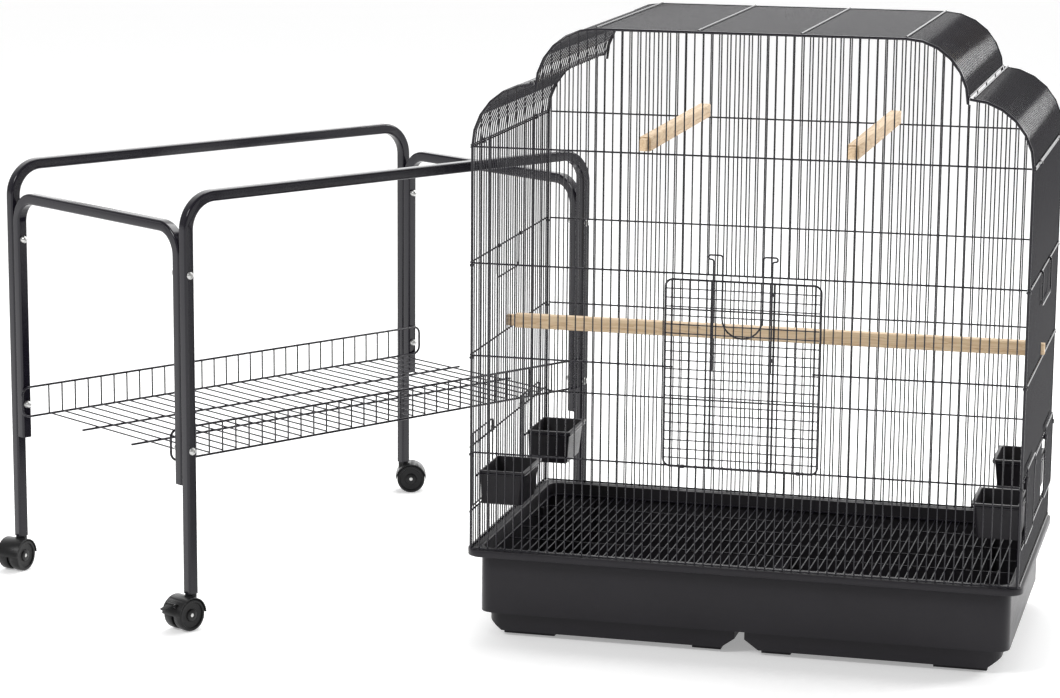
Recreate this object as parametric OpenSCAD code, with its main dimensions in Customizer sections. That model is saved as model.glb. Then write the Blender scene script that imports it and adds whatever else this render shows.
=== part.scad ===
// Bird cage with its rolling stand: a wire cage on a plastic tub, standing on the
// floor, and the empty stand with its wire shelf and casters beside it.
// X runs along the cage's width, Y from its front to its back, Z up from the floor.

/* [Cage] */
// Width of the cage between the centres of its corner posts
cage_w = 775; // [650:12.5:950]
// Depth of the cage between its front and back walls
cage_d = 437.5; // [375:12.5:550]
// Distance from one upright wire to the next
wire_pitch = 12.5; // [11:0.5:16]
// Height where the side walls end and the rounded shoulders begin
shoulder_z = 709; // [620:1:850]
// Radius of the rounded shoulders
shoulder_r = 90; // [70:1:105]
// Radius of the raised crown's rounded sides
crown_r = 85; // [65:1:100]
// How much higher the crown is than the top of the shoulders
crown_step = 78; // [70:1:90]
// Height of the cross wire that the front door closes against
upper_rail_z = 545; // [500:1:600]
// Height of the cross wire that carries the long perch
middle_rail_z = 413; // [370:1:450]
// Height of the cross wire that carries the front door's hinge
lower_rail_z = 273; // [255:1:300]

/* [Wires] */
// Diameter of the upright and roof wires
wire_d = 2; // [1.6:0.1:2.4]
// Diameter of the cross wires
cross_d = 2.6; // [2.2:0.1:3]
// Diameter of the frame wire round the front and back walls
frame_d = 4; // [3.4:0.1:5]
// Diameter of the front door's mesh wires
mesh_d = 1.8; // [1.4:0.1:2]
// Distance between crossing wires, closed by their welds
weld_gap = 0.02; // [0.01:0.01:0.05]

/* [Tub] */
// Height of the tub's rim above the floor
rim_z = 131; // [115:1:150]
// How far the rim stands out past the cage wires
rim_reach = 7.5; // [6:0.5:12]
// Height of the rim's turned-down edge
rim_h = 10; // [8:1:14]
// How far the rim stands out past the tub's wall
rim_overhang = 17; // [12:1:24]
// Thickness of the tub's plastic
tub_wall = 3; // [2.5:0.1:4]
// Height of the step that rests on the stand's long rails
step_z = 36; // [30:1:48]
// How far the lower blocks are set in from the wall
step_inset = 11; // [8:1:16]
// Height of the four foot pads under the lower blocks
foot_h = 8; // [4:0.5:10]

/* [Door and latch] */
// Width of the front door's wire frame
door_w = 217; // [190:1:240]
// Height of the front door above its hinge wire
door_h = 264; // [240:1:268]
// Diameter of the front door's frame wire
door_wire_d = 3; // [2.6:0.1:3.4]
// Distance between the latch's two outer legs
latch_w = 82; // [70:0.5:84]
// Length of the latch's outer legs
latch_leg = 152; // [130:1:160]
// Width of the latch's finger loop
latch_loop_w = 56.4; // [44:0.2:58]
// Diameter of the latch and handle wire
latch_d = 2.5; // [2.2:0.1:2.8]

/* [Cups and perches] */
// Length of a cup along the side wall
cup_l = 100; // [90:1:108]
// How far a cup reaches into the cage
cup_reach = 66; // [55:1:75]
// Height of a cup
cup_h = 50; // [42:1:56]
// Height of a cup's rim above the floor
cup_rim_z = 239; // [230:1:245]
// Distance of a cup's middle from the middle of the side wall
cup_y = 137.5; // [125:0.5:145]
// Thickness of a cup's plastic
cup_wall = 2; // [1.6:0.1:3]
// Height of a perch's section
perch_h = 20; // [16:1:22]
// Width of a perch's section
perch_w = 17; // [14:1:20]
// How far a perch's ends stand out through the wires
perch_out = 6; // [4:1:10]

/* [Stand] */
// Length of the stand between the centres of its legs
stand_l = 772; // [700:1:900]
// Width of the stand between the centres of its legs
stand_w = 440.6; // [380:0.2:520]
// Height of the top of the long rails
long_rail_z = 635; // [560:1:720]
// Height of the top of the short rails
short_rail_z = 590; // [520:1:680]
// Outside width of the square tube
tube_s = 16; // [14:0.5:20]
// Wall thickness of the tube
tube_wall = 1.2; // [1:0.1:1.6]
// Bend radius of the long frames at the tube's middle
long_bend_r = 46; // [35:1:60]
// Bend radius of the short frames at the tube's middle
short_bend_r = 40; // [32:1:50]
// Height of the lower ends of the short frames' legs
short_leg_z = 210; // [180:1:230]
// Height of the upper bolts
upper_bolt_z = 517; // [480:1:530]
// Height of the lower bolts, which also hold the shelf
lower_bolt_z = 262; // [258:1:270]
// Height of the shelf's floor wires
shelf_z = 245; // [240:1:250]
// Height of the shelf's edge above its floor wires
shelf_edge_h = 42; // [34:1:50]
// Distance between the shelf's cross wires
shelf_pitch = 24; // [20:1:30]
// Diameter of the shelf's cross wires
shelf_d = 2.4; // [2:0.1:3]
// Diameter of the shelf's long wires
shelf_rod_d = 3.6; // [3:0.1:4.4]
// Angle between the stand's long side and the cage's width
stand_turn = 56.8; // [40:0.1:70]
// Place of the stand's middle along the cage's width
stand_x = -763; // [-900:1:-740]
// Place of the stand's middle along the cage's depth
stand_y = 164; // [120:1:220]

/* [Casters] */
// Radius of the caster wheels
wheel_r = 23.5; // [20:0.5:30]
// Width of each caster wheel
wheel_w = 16; // [12:0.5:18]
// Distance of the wheels' axle behind the swivel axis
trail = 13; // [10:0.5:18]
// Diameter of the caster's stem
stem_d = 8; // [7:0.5:9]
// Diameter of the axle
axle_d = 6; // [5:0.5:7]

/* [Hidden] */
$fn = 32;
slack = 0.3;
hinge_gap = 0.08;
running_gap = 0.06;
// fine distance between pieces of one body that are pressed or screwed together
seat_gap = 0.02;

half_w = cage_w / 2;
half_d = cage_d / 2;
n_w = round(cage_w / wire_pitch);
n_d = round(cage_d / wire_pitch);
step_w = cage_w / n_w;
step_d = cage_d / n_d;
wall_z = rim_z + slack;
cross_out = wire_d / 2 + cross_d / 2 + weld_gap;
valley_x = half_w - shoulder_r;
valley_z = shoulder_z + shoulder_r;
top_z = valley_z + crown_step;
crown_x = valley_x - crown_r;
crown_z = top_z - crown_r;

rim_w = cage_w + 2 * rim_reach;
rim_d = cage_d + 2 * rim_reach;
rim_corner_r = 24;
body_w = rim_w - 2 * rim_overhang;
body_d = rim_d - 2 * rim_overhang;
body_corner_r = 20;
block_w = body_w - 2 * step_inset;
block_d = body_d - 2 * step_inset;
block_gap_top = 14;
block_slope = 20;
block_gap_foot = 2 * block_slope + block_gap_top;
ledge_z = rim_z - 20;

grille_rod_d = 4;
grille_z = ledge_z + slack + grille_rod_d / 2;
grille_w = body_w - 2 * tub_wall - 6;
grille_l = body_d - 2 * tub_wall - 6;

door_open_w = 2 * step_w * floor((door_w / 2 - frame_d) / step_w + 0.5);
door_y = -half_d - cross_out - cross_d / 2 - 0.4 - door_wire_d / 2;
door_corner_r = 10;
door_rows = round(door_h / wire_pitch);
door_top_z = lower_rail_z + door_h;
door_stay_x = latch_w / 2 + latch_d / 2 + door_wire_d / 2 + 0.1;
door_stay_half = ceil(door_stay_x / step_w) - 0.5;
door_clip_x = 6.5 * step_w;
latch_y = door_y - door_wire_d / 2 - mesh_d - slack - latch_d / 2;
latch_foot_z = lower_rail_z + 140;
latch_hook_r = 3;
latch_loop_z = lower_rail_z + 186 + latch_loop_w / 2;
latch_guide_z = [latch_foot_z + 18, door_top_z - 14];

// the nearest middle of a gap between two side wires
function side_gap(y) = n_d % 2 == 1 ? step_d * round(y / step_d) : step_d * (floor(y / step_d) + 0.5);
handle_y = side_gap(62);
handle_drop = 48;
handle_bend_r = 10;
handle_x = half_w + cross_out + cross_d / 2 + slack + latch_d / 2;

cup_bar_d = 3.1;
cup_x = half_w - wire_d / 2 - cup_bar_d - weld_gap - slack;
cup_taper = 5;
cup_lip = 3;
cup_opening_z = [cup_rim_z - cup_h - 3, lower_rail_z + 6 - cross_d / 2];
cup_opening_l = cup_l + 2;
cup_door_x = half_w + cross_out + cross_d / 2 + 0.4 + latch_d / 2;
cup_door_l = cup_opening_l + 2 * latch_d + 4;
cup_door_top_z = cup_opening_z[1] + cross_d / 2 + 14;
cup_door_bend_r = 6;
cup_door_z = [cup_opening_z[0] + latch_d / 2, cup_door_top_z];
cup_holder_z = cup_rim_z - cup_lip - slack - cup_bar_d / 2;
cup_body_l = cup_l - 5;
cup_body_reach = cup_reach - 2.5;

perch_z = middle_rail_z + cross_d / 2 + perch_h / 2 + slack;
short_perch_z = shoulder_z + cross_d / 2 + perch_h / 2 + slack;
short_perch_x = step_w * (floor(143.75 / step_w) + 0.5);
tenon_w = min(step_w, step_d) - wire_d - 1.5;

leg_x = stand_l / 2;
leg_y = stand_w / 2;
pair_gap = 0.3;
short_leg_y = leg_y - tube_s - pair_gap;
leg_z = 2 * wheel_r + 4;
bolt_d = 6;
bolt_head_d = 11;
bolt_head_h = 4;
shelf_half_d = short_leg_y - tube_s / 2 - 6;
shelf_n = round((stand_l - 2 * tube_s) / shelf_pitch);
hood_r = wheel_r + 2.3;
web_w = 4;
hood_w = web_w + 2 * wheel_w + 2;
stem_top_z = leg_z + 28;
// direction in which each caster trails at rest, in the stand's own frame
caster_turn = [20, 5, 140, 75];
shelf_x = leg_x - tube_s / 2 - 3;
bolt_grip = 2 * tube_s + pair_gap;
ear_y = 7;
ear_w = 3;
lever_x = -trail - (hood_r + 3 + slack) * cos(35);
lever_z = wheel_r + (hood_r + 3 + slack) * sin(35);
lever_pin_d = 3;
corner_x = [-leg_x, -leg_x, leg_x, leg_x];
corner_y = [leg_y, -leg_y, leg_y, -leg_y];

black = [0.09, 0.085, 0.1];
charcoal = [0.2, 0.19, 0.22];
timber = [0.86, 0.69, 0.5];
zinc = [0.8, 0.81, 0.83];

// ---- wires ----

// a straight wire along Z from z0 to z1
module upright(x, y, z0, z1, d) {
    translate([x, y, z0]) cylinder(d = d, h = z1 - z0);
}

// a straight wire along X
module rail_x(x0, x1, y, z, d) {
    translate([x0, y, z]) rotate([0, 90, 0]) cylinder(d = d, h = x1 - x0);
}

// a straight wire along Y
module rail_y(x, y0, y1, z, d) {
    translate([x, y0, z]) rotate([-90, 0, 0]) cylinder(d = d, h = y1 - y0);
}

// an arc of wire in the XY plane about the origin, from angle a0
module arc(r, d, a0 = 0, turn = 90) {
    rotate([0, 0, a0]) rotate_extrude(angle = turn, $fn = 96) translate([r, 0]) circle(d = d);
}

// an arc of wire in the XZ plane, from angle a0 measured from +X towards +Z
module arc_xz(x, y, z, r, d, a0 = 0, turn = 90) {
    translate([x, y, z]) rotate([90, 0, 0]) arc(r, d, a0, turn);
}

// a closed rectangle of wire in the XY plane with rounded corners
module wire_loop(w, h, r, d) {
    for (s = [-1, 1]) {
        translate([-w / 2 + r, s * h / 2, 0]) rotate([0, 90, 0]) cylinder(d = d, h = w - 2 * r);
        translate([s * w / 2, -h / 2 + r, 0]) rotate([-90, 0, 0]) cylinder(d = d, h = h - 2 * r);
    }
    for (c = [[1, 1, 0], [-1, 1, 90], [-1, -1, 180], [1, -1, 270]])
        translate([c[0] * (w / 2 - r), c[1] * (h / 2 - r), 0]) arc(r, d, c[2]);
}

// a rounded rectangle, square-cornered where r is 0
module plate(w, d, r) {
    square([w - 2 * r, d], center = true);
    square([w, d - 2 * r], center = true);
    for (x = [-1, 1] * (w / 2 - r), y = [-1, 1] * (d / 2 - r)) translate([x, y]) circle(r = r);
}

// both sides of the cage, from the shapes at +X
module both_sides() {
    children();
    mirror([1, 0, 0]) children();
}

// ---- walls ----

// height of the roof line above a place on the front wall
function under_arch(x) =
    let (edge = frame_d / 2 + weld_gap, away = abs(x) + wire_d / 2)
    abs(x) > valley_x ? shoulder_z + sqrt(max(0, pow(shoulder_r - edge, 2) - pow(away - valley_x, 2)))
    : abs(x) > crown_x ? crown_z + sqrt(max(0, pow(crown_r - edge, 2) - pow(away - crown_x, 2)))
    : top_z - edge;
// angle at which the crown's bend rises clear of the shoulder
crown_start = asin((valley_z - crown_z) / crown_r);

// frame wire that follows the outline of a front or back wall
module wall_outline(y) {
    rail_x(-crown_x, crown_x, y, top_z, frame_d);
    both_sides() {
        upright(half_w, y, wall_z, shoulder_z, frame_d);
        arc_xz(valley_x, y, shoulder_z, shoulder_r, frame_d, 0, 88.6);
        arc_xz(crown_x, y, crown_z, crown_r, frame_d);
    }
}

// a cross wire between the posts of a front or back wall, open between -x0 and x0
module wall_rail(y, z, x0 = 0) {
    end_x = half_w - frame_d / 2 - weld_gap;
    if (x0 == 0) rail_x(-end_x, end_x, y, z, cross_d);
    else both_sides() rail_x(x0, end_x, y, z, cross_d);
}

// a front or back wall; side is -1 in front and 1 behind
module wall(side, doorway) {
    y = side * half_d;
    rail_out = y + side * cross_out;
    color(black) {
        for (i = [1 : n_w - 1]) {
            x = -half_w + i * step_w;
            top = under_arch(x);
            beside_valley = abs(abs(x) - valley_x) < frame_d;
            if (doorway && abs(x) < door_open_w / 2 - weld_gap) {
                upright(x, y, wall_z, lower_rail_z + cross_d / 2, wire_d);
                upright(x, y, upper_rail_z - cross_d / 2, top, wire_d);
            } else if (beside_valley) {
                upright(x, y, wall_z, crown_z - slack, wire_d);
            } else {
                upright(x, y, wall_z, top, wire_d);
            }
        }
        for (z = [wall_z + cross_d / 2, lower_rail_z, upper_rail_z, shoulder_z]) wall_rail(rail_out, z);
        wall_rail(rail_out, middle_rail_z, doorway ? door_open_w / 2 - wire_d : 0);
    }
}

module front_arch() {
    color(black) wall_outline(-half_d);
}

module back_arch() {
    color(black) wall_outline(half_d);
}

module front_wall() {
    wall(-1, true);
}

module back_wall() {
    wall(1, false);
}

// the side wall at +X
module side_wall() {
    end_y = half_d - frame_d / 2 - weld_gap;
    top = shoulder_z - 0.2;
    color(black) {
        for (i = [1 : n_d - 1]) {
            y = -half_d + i * step_d;
            if (abs(abs(y) - cup_y) < cup_opening_l / 2 - weld_gap) {
                upright(half_w, y, wall_z, cup_opening_z[0], wire_d);
                upright(half_w, y, cup_opening_z[1], top, wire_d);
            } else {
                upright(half_w, y, wall_z, top, wire_d);
            }
        }
        for (z = [wall_z + cross_d / 2, cup_opening_z[0] - cross_d / 2, cup_opening_z[1] + cross_d / 2,
                  middle_rail_z, upper_rail_z, top - cross_d / 2])
            rail_y(half_w + cross_out, -end_y, end_y, z, cross_d);
    }
}

module right_wall() {
    side_wall();
}

module left_wall() {
    mirror([1, 0, 0]) side_wall();
}

// ---- roof ----

// the rounded shoulder at +X: bent wires with a cross wire along each long edge
module shoulder() {
    end_y = half_d - frame_d / 2 - weld_gap;
    base_z = shoulder_z + 0.2;
    turn = 86;
    color(black) {
        for (i = [1 : n_d - 1])
            arc_xz(valley_x, -half_d + i * step_d, base_z, shoulder_r, wire_d, 0, turn);
        rail_y(half_w + cross_out, -end_y, end_y, base_z + cross_d / 2, cross_d);
        rail_r = shoulder_r + cross_out;
        rail_y(valley_x + rail_r * cos(turn - 1), -end_y, end_y, base_z + rail_r * sin(turn - 1), cross_d);
    }
}

module right_shoulder() {
    shoulder();
}

module left_shoulder() {
    mirror([1, 0, 0]) shoulder();
}

// the flat top of the raised crown
module crown_top() {
    end_y = half_d - frame_d / 2 - weld_gap;
    color(black) {
        for (i = [1 : n_d - 1]) rail_x(-crown_x, crown_x, -half_d + i * step_d, top_z, wire_d);
        for (x = [-1, -1 / 3, 1 / 3, 1] * crown_x) rail_y(x, -end_y, end_y, top_z + cross_out, cross_d);
    }
}

// the crown's bent side at +X, with a cross wire along its lower edge
module crown_side() {
    end_y = half_d - frame_d / 2 - weld_gap;
    start = crown_start + 1;
    edge_r = crown_r + cross_out;
    color(black) {
        for (i = [1 : n_d - 1])
            arc_xz(crown_x, -half_d + i * step_d, crown_z, crown_r, wire_d, start, 90 - start);
        rail_y(crown_x + edge_r * cos(start + 1), -end_y, end_y, crown_z + edge_r * sin(start + 1), cross_d);
    }
}

module right_crown_side() {
    crown_side();
}

module left_crown_side() {
    mirror([1, 0, 0]) crown_side();
}

// clips that hold a side wall to its shoulder, and rings that hold the walls to the posts
module panel_clips() {
    clip_r = cross_d + 0.4;
    ring_z = cross_d / 2 + 1;
    color(black) both_sides() {
        for (y = [-1, 1] * side_gap(half_d * 0.7)) translate([half_w + cross_out, y - 3, shoulder_z])
            rotate([-90, 0, 0]) difference() {
                cylinder(r = clip_r + 1, h = 6);
                translate([0, 0, -1]) cylinder(r = clip_r, h = 8);
            }
        for (y = [-1, 1] * half_d, z = [lower_rail_z, middle_rail_z, upper_rail_z])
            translate([half_w, y, z - ring_z - 3]) difference() {
                cylinder(d = frame_d + 2 * seat_gap + 2.6, h = 3);
                translate([0, 0, -1]) cylinder(d = frame_d + 2 * seat_gap, h = 5);
            }
    }
}

// ---- front door ----

// clips on the lower cross wire that carry the door's lowest wire
module door_hinge_clips() {
    rail_out = -half_d - cross_out;
    clip_w = 5;
    color(black) both_sides() translate([door_clip_x - clip_w / 2, 0, lower_rail_z]) rotate([0, 90, 0])
        difference() {
            union() {
                translate([0, door_y]) cylinder(d = door_wire_d + 2 * hinge_gap + 2, h = clip_w);
                translate([0, rail_out]) cylinder(d = cross_d + 2 * seat_gap + 2, h = clip_w);
                translate([-1, door_y, 0]) cube([2, rail_out - door_y, clip_w]);
            }
            translate([0, door_y, -1]) cylinder(d = door_wire_d + 2 * hinge_gap, h = clip_w + 2);
            translate([0, rail_out, -1]) cylinder(d = cross_d + 2 * seat_gap, h = clip_w + 2);
        }
}

module front_door() {
    mid_z = lower_rail_z + door_h / 2;
    inner = door_wire_d / 2 + weld_gap;
    stay_x = door_stay_half * step_w;
    row_out = door_y - mesh_d - weld_gap;
    row_end = door_w / 2 - inner;
    color(black) {
        translate([0, door_y, mid_z]) rotate([90, 0, 0]) wire_loop(door_w, door_h, door_corner_r, door_wire_d);
        for (i = [0 : floor((door_w / 2 - 4) / step_w)]) both_sides()
            upright(i * step_w, door_y, lower_rail_z + inner, door_top_z - inner, mesh_d);
        for (j = [1 : door_rows - 1])
            rail_x(-row_end, row_end, row_out, lower_rail_z + j * door_h / door_rows, mesh_d);
        both_sides() {
            upright(stay_x, door_y, lower_rail_z + inner, door_top_z - inner, door_wire_d);
            for (z = latch_guide_z) difference() {
                union() {
                    translate([latch_w / 2, latch_y, z]) cylinder(d = latch_d + 3.4, h = 5, center = true);
                    translate([latch_w / 2 - 0.5, latch_y + 1, z - 2.5])
                        cube([stay_x - latch_w / 2 + 0.5, door_y - latch_y - 1, 5]);
                }
                translate([latch_w / 2, latch_y, z - 4]) cylinder(d = latch_d + 2 * hinge_gap, h = 8);
            }
        }
    }
}

// sprung wire latch: a finger loop, with a hook at the top of each leg
module front_latch() {
    loop_r = latch_loop_w / 2;
    leg_x_out = latch_w / 2;
    r = latch_hook_r;
    bend_r = 4;
    leg_top = latch_foot_z + latch_leg;
    hook_x = leg_x_out + 4;
    top = leg_top + 3 * r;
    color(black) {
        arc_xz(0, latch_y, latch_loop_z, loop_r, latch_d, 180, 180);
        both_sides() {
            upright(loop_r, latch_y, latch_loop_z, top - bend_r, latch_d);
            arc_xz(loop_r + bend_r, latch_y, top - bend_r, bend_r, latch_d, 90, 90);
            rail_x(loop_r + bend_r, hook_x, latch_y, top, latch_d);
            arc_xz(hook_x, latch_y, top - r, r, latch_d, -90, 180);
            rail_x(leg_x_out + r, hook_x, latch_y, top - 2 * r, latch_d);
            arc_xz(leg_x_out + r, latch_y, top - 3 * r, r, latch_d, 90, 90);
            upright(leg_x_out, latch_y, latch_foot_z, leg_top, latch_d);
        }
    }
}

// ---- side handles ----

// bail handle that hangs from a side wall's upper cross wire, at +X
module side_handle() {
    rail_out = half_w + cross_out;
    foot_z = upper_rail_z - handle_drop;
    r = handle_bend_r;
    color(black) {
        for (s = [-1, 1]) {
            translate([rail_out, s * handle_y - 2, upper_rail_z]) rotate([-90, 0, 0]) difference() {
                cylinder(d = cross_d + 2 * hinge_gap + 3, h = 4);
                translate([0, 0, -1]) cylinder(d = cross_d + 2 * hinge_gap, h = 6);
            }
            upright(handle_x, s * handle_y, foot_z + r, upper_rail_z, latch_d);
            translate([handle_x, s * (handle_y - r), foot_z + r]) rotate([90, 0, 90])
                arc(r, latch_d, s == 1 ? 270 : 180);
        }
        rail_y(handle_x, -handle_y + r, handle_y - r, foot_z, latch_d);
    }
}

module right_handle() {
    side_handle();
}

module left_handle() {
    mirror([1, 0, 0]) side_handle();
}

// ---- cups ----

// a cup against the side wall at +X, at place y along it
module cup(y) {
    back_x = cup_x;
    front_x = cup_x - cup_body_reach;
    floor_z = cup_rim_z - cup_h;
    module tray(z, inset, back) {
        r = 6;
        for (s = [-1, 1]) {
            translate([front_x + inset + r, y + s * (cup_body_l / 2 - inset - r), z]) cylinder(r = r, h = 0.1);
            translate([back_x - back - 1, y + s * (cup_body_l / 2 - inset - 1), z]) cylinder(r = 1, h = 0.1);
        }
    }
    color(charcoal) difference() {
        union() {
            hull() {
                tray(cup_rim_z - 0.1, 0, 0);
                tray(floor_z, cup_taper, 0);
            }
            translate([back_x - cup_reach, y - cup_l / 2, cup_rim_z - cup_lip]) cube([cup_reach, cup_l, cup_lip]);
        }
        hull() {
            tray(cup_rim_z + 0.2, cup_wall, cup_wall);
            tray(floor_z + cup_wall, cup_taper + cup_wall, cup_wall);
        }
    }
}

module cup_front_right() {
    cup(-cup_y);
}

module cup_back_right() {
    cup(cup_y);
}

module cup_front_left() {
    mirror([1, 0, 0]) cup(-cup_y);
}

module cup_back_left() {
    mirror([1, 0, 0]) cup(cup_y);
}

// wire rings inside the side walls that carry the cups under their rims
module cup_holders() {
    bar_x = half_w - wire_d / 2 - cup_bar_d / 2 - weld_gap;
    side_y = cup_body_l / 2 + 0.5 + latch_d / 2;
    front_x = cup_x - cup_body_reach - 0.5 - latch_d / 2;
    border_y = cup_opening_l / 2 + step_d;
    r = 5;
    color(black) both_sides() for (y = [-1, 1] * cup_y) translate([0, y, cup_holder_z]) {
        rail_y(bar_x, -border_y * 0.98, border_y * 0.98, 0, cup_bar_d);
        rail_y(front_x, -side_y + r, side_y - r, 0, latch_d);
        for (s = [-1, 1]) {
            rail_x(front_x + r, bar_x, s * side_y, 0, latch_d);
            translate([front_x + r, s * (side_y - r), 0]) arc(r, latch_d, s == 1 ? 90 : 180);
        }
    }
}

// wire door outside the side wall at +X that slides up from a cup's opening
module cup_door(y) {
    h = cup_door_z[1] - cup_door_z[0];
    inner = latch_d / 2 + weld_gap;
    color(black) {
        translate([cup_door_x, y, cup_door_z[0] + h / 2]) rotate([90, 0, 90])
            wire_loop(cup_door_l, h, cup_door_bend_r, latch_d);
        for (k = [-3 : 3]) upright(cup_door_x, y + k * cup_door_l / 8.6, cup_door_z[0] + inner,
                                   cup_door_z[1] - inner, wire_d);
    }
}

module cup_door_front_right() {
    cup_door(-cup_y);
}

module cup_door_back_right() {
    cup_door(cup_y);
}

module cup_door_front_left() {
    mirror([1, 0, 0]) cup_door(-cup_y);
}

module cup_door_back_left() {
    mirror([1, 0, 0]) cup_door(cup_y);
}

// rings on the side walls' cross wires that guide the cup doors
module cup_door_guides() {
    z = cup_opening_z[1] + cross_d / 2;
    color(black) both_sides() for (y = [-1, 1] * cup_y, s = [-1, 1]) difference() {
        translate([cup_door_x, y + s * cup_door_l / 2, z - 3]) cylinder(d = latch_d + 3, h = 6);
        translate([cup_door_x, y + s * cup_door_l / 2, z - 4]) cylinder(d = latch_d + 2 * hinge_gap, h = 8);
        rail_y(half_w + cross_out, y + s * cup_door_l / 2 - 8, y + s * cup_door_l / 2 + 8, z, cross_d + 2 * seat_gap);
    }
}

// ---- perches ----

// a perch along X, centred, with narrow ends that pass between two wires
module perch(span) {
    round_d = norm([perch_w, perch_h]) * 0.93;
    shoulder_x = span / 2 - 8;
    groove = 1.4;
    color(timber) {
        difference() {
            intersection() {
                translate([0, 0, 0]) cube([2 * shoulder_x, perch_w, perch_h], center = true);
                translate([-shoulder_x, 0, 0]) rotate([0, 90, 0]) cylinder(d = round_d, h = 2 * shoulder_x, $fn = 64);
            }
            for (s = [-1, 1]) translate([0, s * perch_w / 2, -perch_h / 6])
                cube([2 * shoulder_x + 2, groove, groove], center = true);
        }
        for (s = [-1, 1]) translate([s * (span / 4 + perch_out / 2 + shoulder_x / 2), 0, 0])
            cube([span / 2 + perch_out - shoulder_x, tenon_w, perch_h * 0.8], center = true);
    }
}

module long_perch() {
    translate([0, side_gap(0), perch_z]) perch(cage_w);
}

module short_perch(side) {
    translate([side * short_perch_x, 0, short_perch_z]) rotate([0, 0, 90]) perch(cage_d);
}

module left_perch() {
    short_perch(-1);
}

module right_perch() {
    short_perch(1);
}

// ---- tub ----

// one lower block of the tub at +X, grown inwards by a wall thickness t
module tub_block(t) {
    outer_x = block_w / 2 - t;
    foot_x = outer_x - block_slope;
    top = t > 0 ? step_z + tub_wall + 1 : step_z;
    gap_x = block_gap_top / 2 + t;
    floor_z = foot_h + t;
    intersection() {
        translate([0, block_d / 2 - t, 0]) rotate([90, 0, 0]) linear_extrude(block_d - 2 * t)
            polygon([[gap_x, top], [gap_x, step_z * 0.62], [gap_x + block_slope, floor_z],
                     [foot_x, floor_z], [outer_x, step_z * 0.62], [outer_x, top]]);
        linear_extrude(step_z + 10) plate(block_w - 2 * t, block_d - 2 * t, body_corner_r - t);
    }
}

module tub() {
    color(charcoal) difference() {
        union() {
            translate([0, 0, step_z]) linear_extrude(rim_z - step_z) plate(body_w, body_d, body_corner_r);
            both_sides() tub_block(0);
        }
        translate([0, 0, step_z + tub_wall]) linear_extrude(rim_z)
            plate(body_w - 2 * tub_wall, body_d - 2 * tub_wall, body_corner_r - tub_wall);
        both_sides() tub_block(tub_wall);
    }
}

// the flange round the tub's top, with its turned-down lip
module tub_rim() {
    color(charcoal) translate([0, 0, rim_z - rim_h]) difference() {
        linear_extrude(rim_h) plate(rim_w, rim_d, rim_corner_r);
        translate([0, 0, -1]) linear_extrude(rim_h + 2) plate(body_w, body_d, body_corner_r);
        translate([0, 0, -1]) linear_extrude(rim_h - tub_wall + 1)
            plate(rim_w - 2 * tub_wall, rim_d - 2 * tub_wall, rim_corner_r - tub_wall);
    }
}

// ribs inside the tub's walls that carry the grille
module grille_ribs() {
    rib = 8;
    rib_x = block_w * 0.42;
    rib_y = block_d * 0.32;
    base_z = step_z + tub_wall;
    color(charcoal) {
        for (x = [-1, 1] * rib_x, y = [-1, 1] * (body_d / 2 - tub_wall - rib / 2))
            translate([x - rib / 2, y - rib / 2, base_z]) cube([rib, rib, ledge_z - base_z]);
        for (x = [-1, 1] * (body_w / 2 - tub_wall - rib / 2), y = [-1, 1] * rib_y)
            translate([x - rib / 2, y - rib / 2, base_z]) cube([rib, rib, ledge_z - base_z]);
    }
}

// low pads under the tub's blocks
module tub_feet() {
    outer_l = 75;
    inner_l = 42;
    foot_y = block_d / 2 - 26;
    color(charcoal) both_sides() for (y = [-1, 1] * foot_y) {
        translate([block_w / 2 - block_slope - outer_l, y - 10, 0]) cube([outer_l, 20, foot_h]);
        translate([block_gap_foot / 2 + 2, y - 10, 0]) cube([inner_l, 20, foot_h]);
    }
}

module grille_frame() {
    color(black) translate([0, 0, grille_z]) wire_loop(grille_w, grille_l, rim_corner_r - 6, grille_rod_d);
}

module floor_grille() {
    n = round(grille_w / wire_pitch);
    end_x = grille_w / 2 - grille_rod_d / 2 - weld_gap;
    end_y = grille_l / 2 - grille_rod_d / 2 - weld_gap;
    color(black) translate([0, 0, grille_z]) {
        for (i = [2 : n - 2]) rail_y(-grille_w / 2 + i * grille_w / n, -end_y, end_y, 0, wire_d);
        for (j = [-2 : 2]) rail_x(-end_x, end_x, j * grille_l / 6, -wire_d - weld_gap, wire_d);
    }
}

// ---- stand ----

module place_stand() {
    translate([stand_x, stand_y, 0]) rotate([0, 0, stand_turn]) children();
}

// the square tube's section
module tube_section() {
    difference() {
        plate(tube_s, tube_s, 3);
        plate(tube_s - 2 * tube_wall, tube_s - 2 * tube_wall, 3 - tube_wall);
    }
}

// an upside-down U of tube in the XZ plane, with holes through its legs at the bolt heights
module tube_frame(span, foot_z, rail_top, bend_r) {
    rail_z = rail_top - tube_s / 2;
    bend_z = rail_z - bend_r;
    difference() {
        union() {
            translate([-span / 2 + bend_r, 0, rail_z]) rotate([0, 90, 0])
                linear_extrude(span - 2 * bend_r) tube_section();
            both_sides() {
                translate([span / 2, 0, foot_z]) linear_extrude(bend_z - foot_z) tube_section();
                translate([span / 2 - bend_r, 0, bend_z]) rotate([90, 0, 0])
                    rotate_extrude(angle = 90, $fn = 96) translate([bend_r, 0]) tube_section();
            }
        }
        children();
    }
}

// holes along Y through all four corners of the stand
module bolt_holes() {
    for (x = [-1, 1] * leg_x, z = [lower_bolt_z, upper_bolt_z]) translate([x, -stand_w, z])
        rotate([-90, 0, 0]) cylinder(d = bolt_d + 0.4, h = 2 * stand_w);
}

module long_frame(side) {
    color(black) place_stand() translate([0, side * leg_y, 0])
        tube_frame(stand_l, leg_z, long_rail_z, long_bend_r) bolt_holes();
}

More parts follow.
